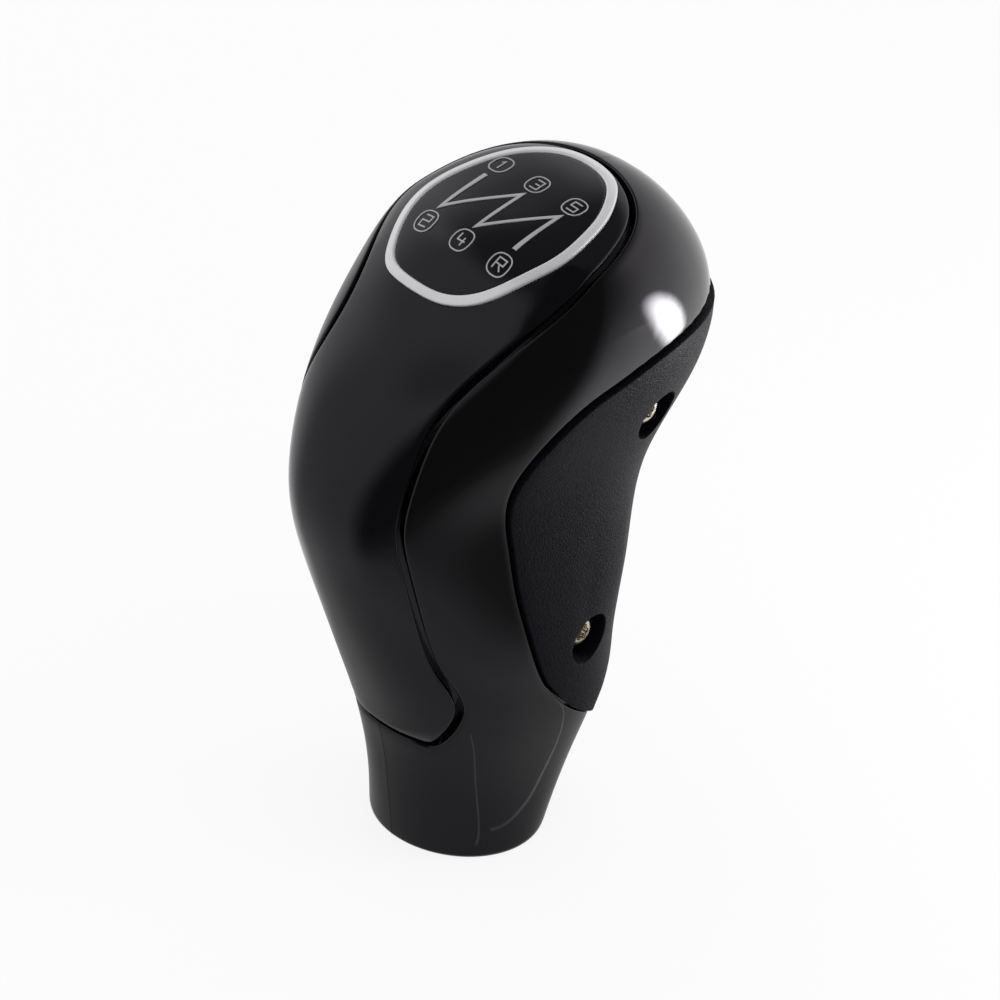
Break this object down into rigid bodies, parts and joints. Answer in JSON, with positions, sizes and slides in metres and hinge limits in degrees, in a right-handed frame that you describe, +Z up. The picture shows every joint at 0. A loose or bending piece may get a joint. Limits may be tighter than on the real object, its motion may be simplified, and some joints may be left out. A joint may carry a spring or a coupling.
{
  "type": "gear shift knob",
  "caption": "Gloss black gear shift knob with a soft grained rear grip, a shift-pattern badge on its crown and a threaded socket for the lever.",
  "frame": {"origin": "centre of the flat ring at the bottom of the collar", "axes": "+Z up along the lever, +X to the right, -Y to the front, where the glossy cover faces"},
  "size_m": [0.0466, 0.0737, 0.118],
  "materials": {
    "housing_right": "high gloss",
    "housing_left": "high gloss",
    "front_cover": "piano black, high gloss",
    "rear_grip": "fine leather grain, satin",
    "badge_pad": "foam adhesive pad",
    "badge_plate": "gloss",
    "badge_ring": "satin chrome",
    "gear_frames": "satin",
    "gate_line": "satin",
    "grip_screws": "nickel plated",
    "lever_core": "matte moulded",
    "lever_bush": "turned"
  },
  "bodies": {
    "root": {"housing_right": "housing_right", "housing_left": "housing_left", "front_cover": "front_cover", "rear_grip": "rear_grip", "badge_pad": "badge_pad", "badge_plate": "badge_plate", "badge_ring": "badge_ring", "gear_frames": "gear_frames", "gate_line": "gate_line", "grip_screws": "grip_screws", "lever_core": "lever_core", "lever_bush": "lever_bush"}
  },
  "joints": []
}
